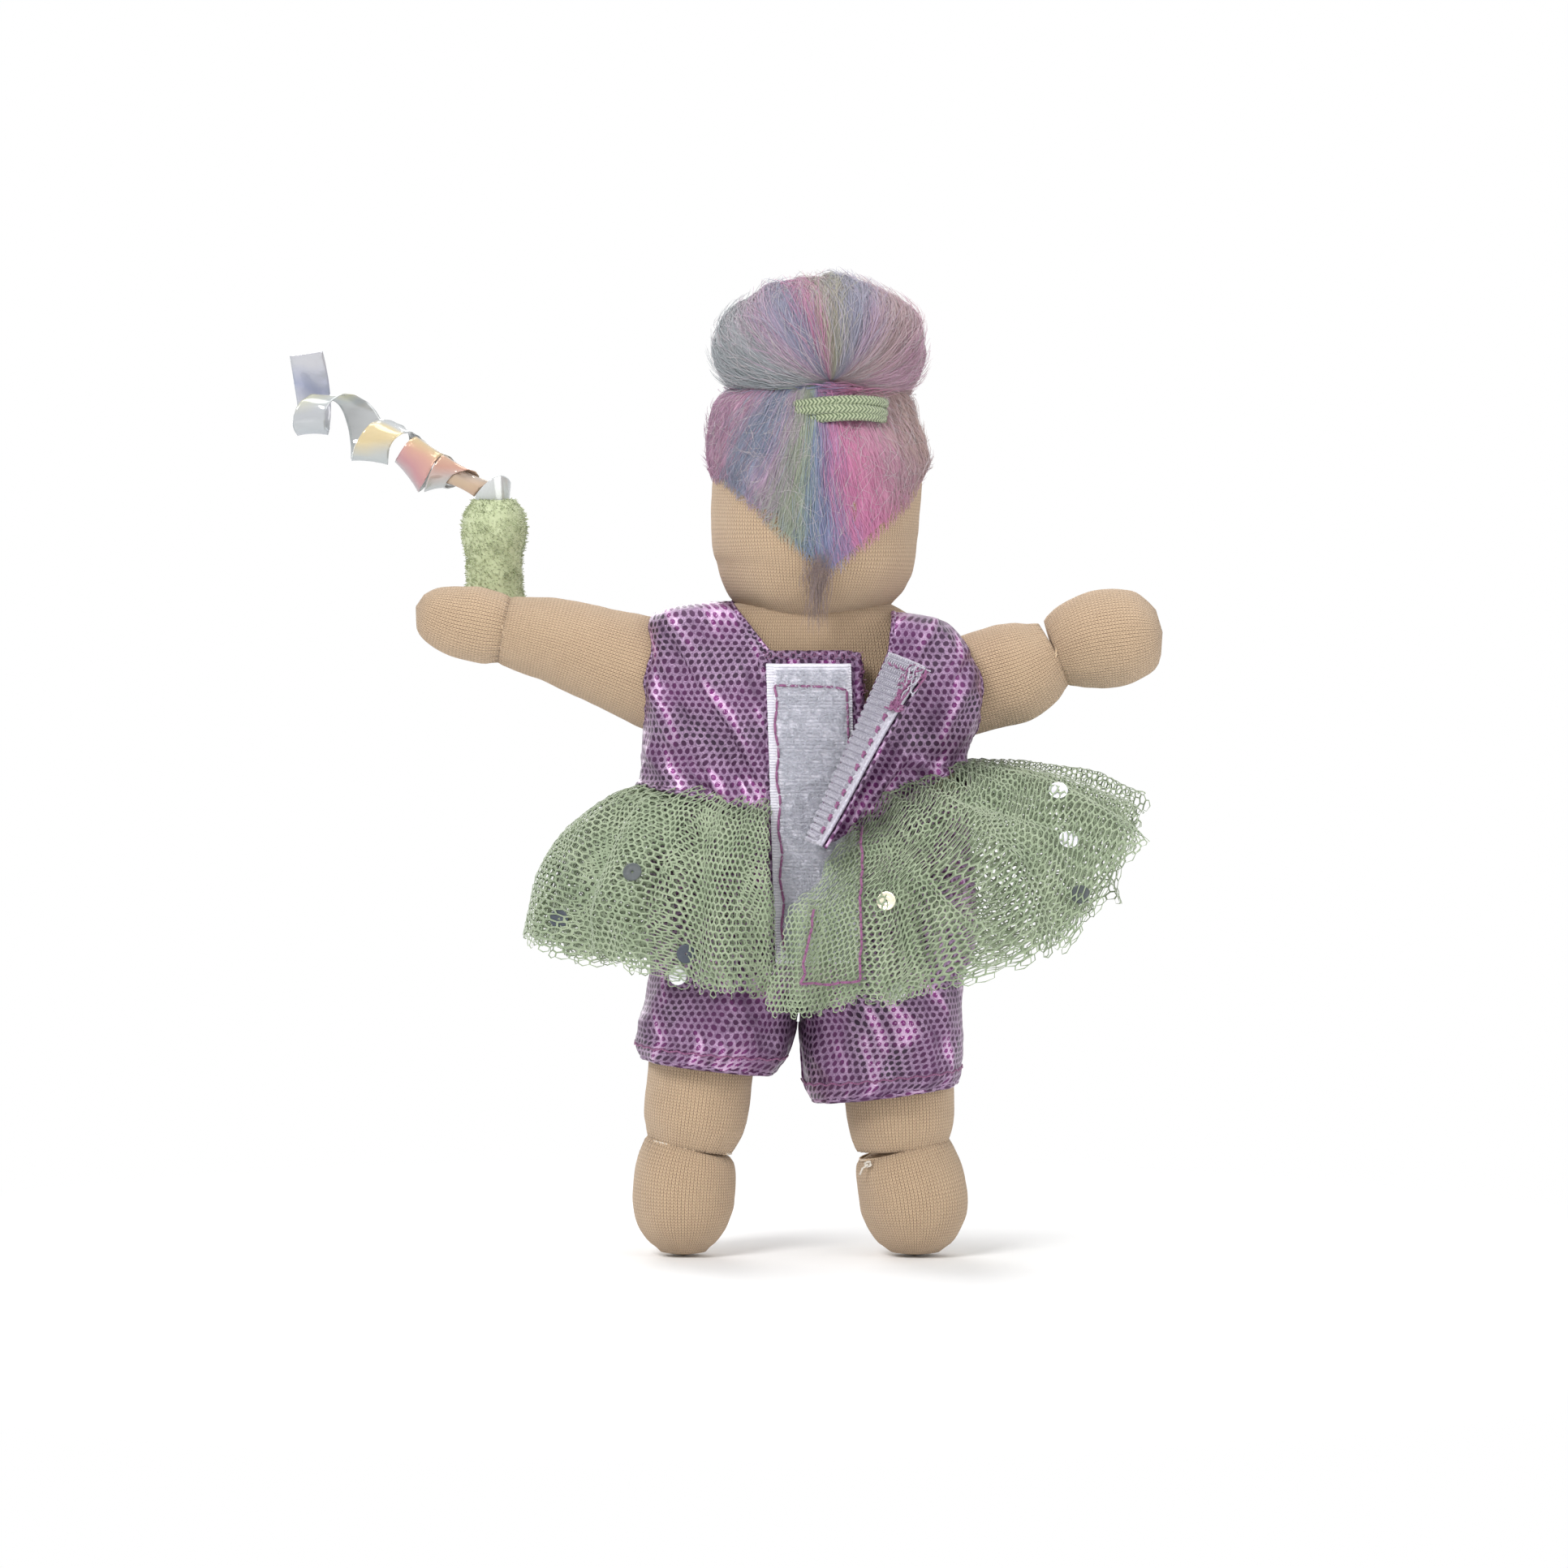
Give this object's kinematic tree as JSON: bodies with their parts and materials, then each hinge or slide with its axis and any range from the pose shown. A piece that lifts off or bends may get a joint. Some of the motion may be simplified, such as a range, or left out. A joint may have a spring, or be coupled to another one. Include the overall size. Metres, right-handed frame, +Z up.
{
  "type": "bendy doll",
  "caption": "Small stuffed jersey doll with a wool bun, foil mesh playsuit, tulle skirt, open hook-and-loop back and a plush party popper with a film streamer.",
  "frame": {"origin": "on the floor, under the middle of the doll's whole box", "axes": "+Z up from the soles to the bun, +Y towards the doll's back, +X towards the doll's left hand"},
  "size_m": [0.1118, 0.05, 0.1246],
  "materials": {
    "skin_jersey": "matt knitted jersey",
    "suit_foil_mesh": "foil mesh with round dots",
    "tulle": "matt net",
    "loop_tape": "fuzzy nylon loops",
    "hook_tape": "ribbed nylon hooks",
    "mauve_thread": "twisted sewing thread",
    "white_thread": "twisted sewing thread",
    "hair_wool": "combed wool roving in streaks",
    "elastic": "braided elastic",
    "plush": "short pile",
    "film": "clear iridescent",
    "armature_wire": "bare",
    "eye_beads": "polished"
  },
  "bodies": {
    "torso": {"torso": "skin_jersey", "spine_wire": "armature_wire", "nape_stitch": "mauve_thread", "bodice_front": "suit_foil_mesh", "bodice_back_left": "suit_foil_mesh", "bodice_back_right": "suit_foil_mesh", "shorts_seat": "suit_foil_mesh", "loop_tape": "loop_tape", "loop_tape_stitching": "mauve_thread", "skirt_outer": "tulle", "skirt_inner": "tulle", "sequin_1": "film", "sequin_2": "film", "sequin_3": "film", "sequin_4": "film", "sequin_5": "film", "skirt_stitching": "mauve_thread", "waist_gathering_thread": "tulle"},
    "neck": {"neck": "skin_jersey", "neck_wire": "armature_wire"},
    "head": {"head": "skin_jersey", "hair_cap": "hair_wool", "hair_bun": "hair_wool", "hair_tie": "elastic", "nape_wisp": "hair_wool", "left_eye": "eye_beads", "right_eye": "eye_beads", "mouth_stitch": "mauve_thread"},
    "left_upper_arm": {"left_upper_arm": "skin_jersey", "left_upper_arm_wire": "armature_wire"},
    "left_forearm": {"left_forearm": "skin_jersey", "left_forearm_wire": "armature_wire", "left_wrist_thread": "white_thread"},
    "left_hand": {"left_hand": "skin_jersey", "popper_sleeve": "plush", "popper_collar": "film", "streamer_ribbon": "film"},
    "left_thigh": {"left_thigh": "skin_jersey", "left_thigh_wire": "armature_wire", "left_shorts_leg": "suit_foil_mesh"},
    "left_shin": {"left_shin": "skin_jersey", "left_shin_wire": "armature_wire", "left_ankle_thread": "white_thread"},
    "left_foot": {"left_foot": "skin_jersey"},
    "right_upper_arm": {"right_upper_arm": "skin_jersey", "right_upper_arm_wire": "armature_wire"},
    "right_forearm": {"right_forearm": "skin_jersey", "right_forearm_wire": "armature_wire", "right_wrist_thread": "white_thread"},
    "right_hand": {"right_hand": "skin_jersey"},
    "right_thigh": {"right_thigh": "skin_jersey", "right_thigh_wire": "armature_wire", "right_shorts_leg": "suit_foil_mesh"},
    "right_shin": {"right_shin": "skin_jersey", "right_shin_wire": "armature_wire", "right_ankle_thread": "white_thread"},
    "right_foot": {"right_foot": "skin_jersey"},
    "back_flap": {"hook_tape": "hook_tape", "flap_facing": "suit_foil_mesh", "flap_stitching": "mauve_thread"}
  },
  "joints": [
    {"name": "neck_turn", "type": "hinge", "parent": "torso", "child": "neck", "pos_m": [-0.01095, -0.00127, 0.0795], "axis": [0, 0, 1], "range_deg": [-50, 50]},
    {"name": "neck_nod", "type": "hinge", "parent": "neck", "child": "head", "pos_m": [-0.01095, -0.00127, 0.0795], "axis": [1, 0, 0], "range_deg": [-12, 12]},
    {"name": "left_shoulder_raise", "type": "hinge", "parent": "torso", "child": "left_upper_arm", "pos_m": [0.00355, -0.00127, 0.0725], "axis": [0, -1, 0], "range_deg": [-30, 40], "deforming": ["bodice_front", "bodice_back_left", "bodice_back_right"]},
    {"name": "left_elbow_bend", "type": "hinge", "parent": "left_upper_arm", "child": "left_forearm", "pos_m": [0.01644, -0.00717, 0.07651], "axis": [0.2974, 0, -0.9548], "range_deg": [0, 70]},
    {"name": "left_wrist_bend", "type": "hinge", "parent": "left_forearm", "child": "left_hand", "pos_m": [0.02799, -0.00127, 0.08011], "axis": [0, -1, 0], "range_deg": [-13, 13]},
    {"name": "right_shoulder_raise", "type": "hinge", "parent": "torso", "child": "right_upper_arm", "pos_m": [-0.02495, -0.00127, 0.0706], "axis": [0, 1, 0], "range_deg": [-30, 40], "deforming": ["bodice_front", "bodice_back_left", "bodice_back_right"]},
    {"name": "right_elbow_bend", "type": "hinge", "parent": "right_upper_arm", "child": "right_forearm", "pos_m": [-0.03472, -0.00747, 0.07416], "axis": [0.342, 0, 0.9397], "range_deg": [0, 70]},
    {"name": "right_wrist_bend", "type": "hinge", "parent": "right_forearm", "child": "right_hand", "pos_m": [-0.04187, -0.00127, 0.07676], "axis": [0, 1, 0], "range_deg": [-13, 13]},
    {"name": "left_hip_swing", "type": "hinge", "parent": "torso", "child": "left_thigh", "pos_m": [0.00125, -0.00127, 0.038], "axis": [-1, 0, 0], "range_deg": [-30, 80], "deforming": ["shorts_seat", "skirt_outer", "skirt_inner", "sequin_1", "sequin_2", "sequin_3", "sequin_4", "sequin_5", "skirt_stitching", "waist_gathering_thread"]},
    {"name": "left_knee_bend", "type": "hinge", "parent": "left_thigh", "child": "left_shin", "pos_m": [0.00378, 0.00523, 0.0195], "axis": [0.9907, 0, 0.1357], "range_deg": [0, 70]},
    {"name": "left_ankle_bend", "type": "hinge", "parent": "left_shin", "child": "left_foot", "pos_m": [0.00456, -0.00127, 0.0138], "axis": [0.9907, 0, 0.1357], "range_deg": [-15, 15]},
    {"name": "right_hip_swing", "type": "hinge", "parent": "torso", "child": "right_thigh", "pos_m": [-0.02145, -0.00127, 0.038], "axis": [-1, 0, 0], "range_deg": [-30, 80], "deforming": ["shorts_seat", "skirt_outer", "skirt_inner", "sequin_1", "sequin_2", "sequin_3", "sequin_4", "sequin_5", "skirt_stitching", "waist_gathering_thread"]},
    {"name": "right_knee_bend", "type": "hinge", "parent": "right_thigh", "child": "right_shin", "pos_m": [-0.02229, 0.00553, 0.0195], "axis": [0.999, 0, -0.0454], "range_deg": [0, 70]},
    {"name": "right_ankle_bend", "type": "hinge", "parent": "right_shin", "child": "right_foot", "pos_m": [-0.02255, -0.00127, 0.0138], "axis": [0.999, 0, -0.0454], "range_deg": [-15, 15]},
    {"name": "back_flap_open", "type": "hinge", "parent": "torso", "child": "back_flap", "pos_m": [-0.01064, 0.01343, 0.0536], "axis": [-0.396, -0.0216, 0.918], "range_deg": [-95, 20]}
  ]
}
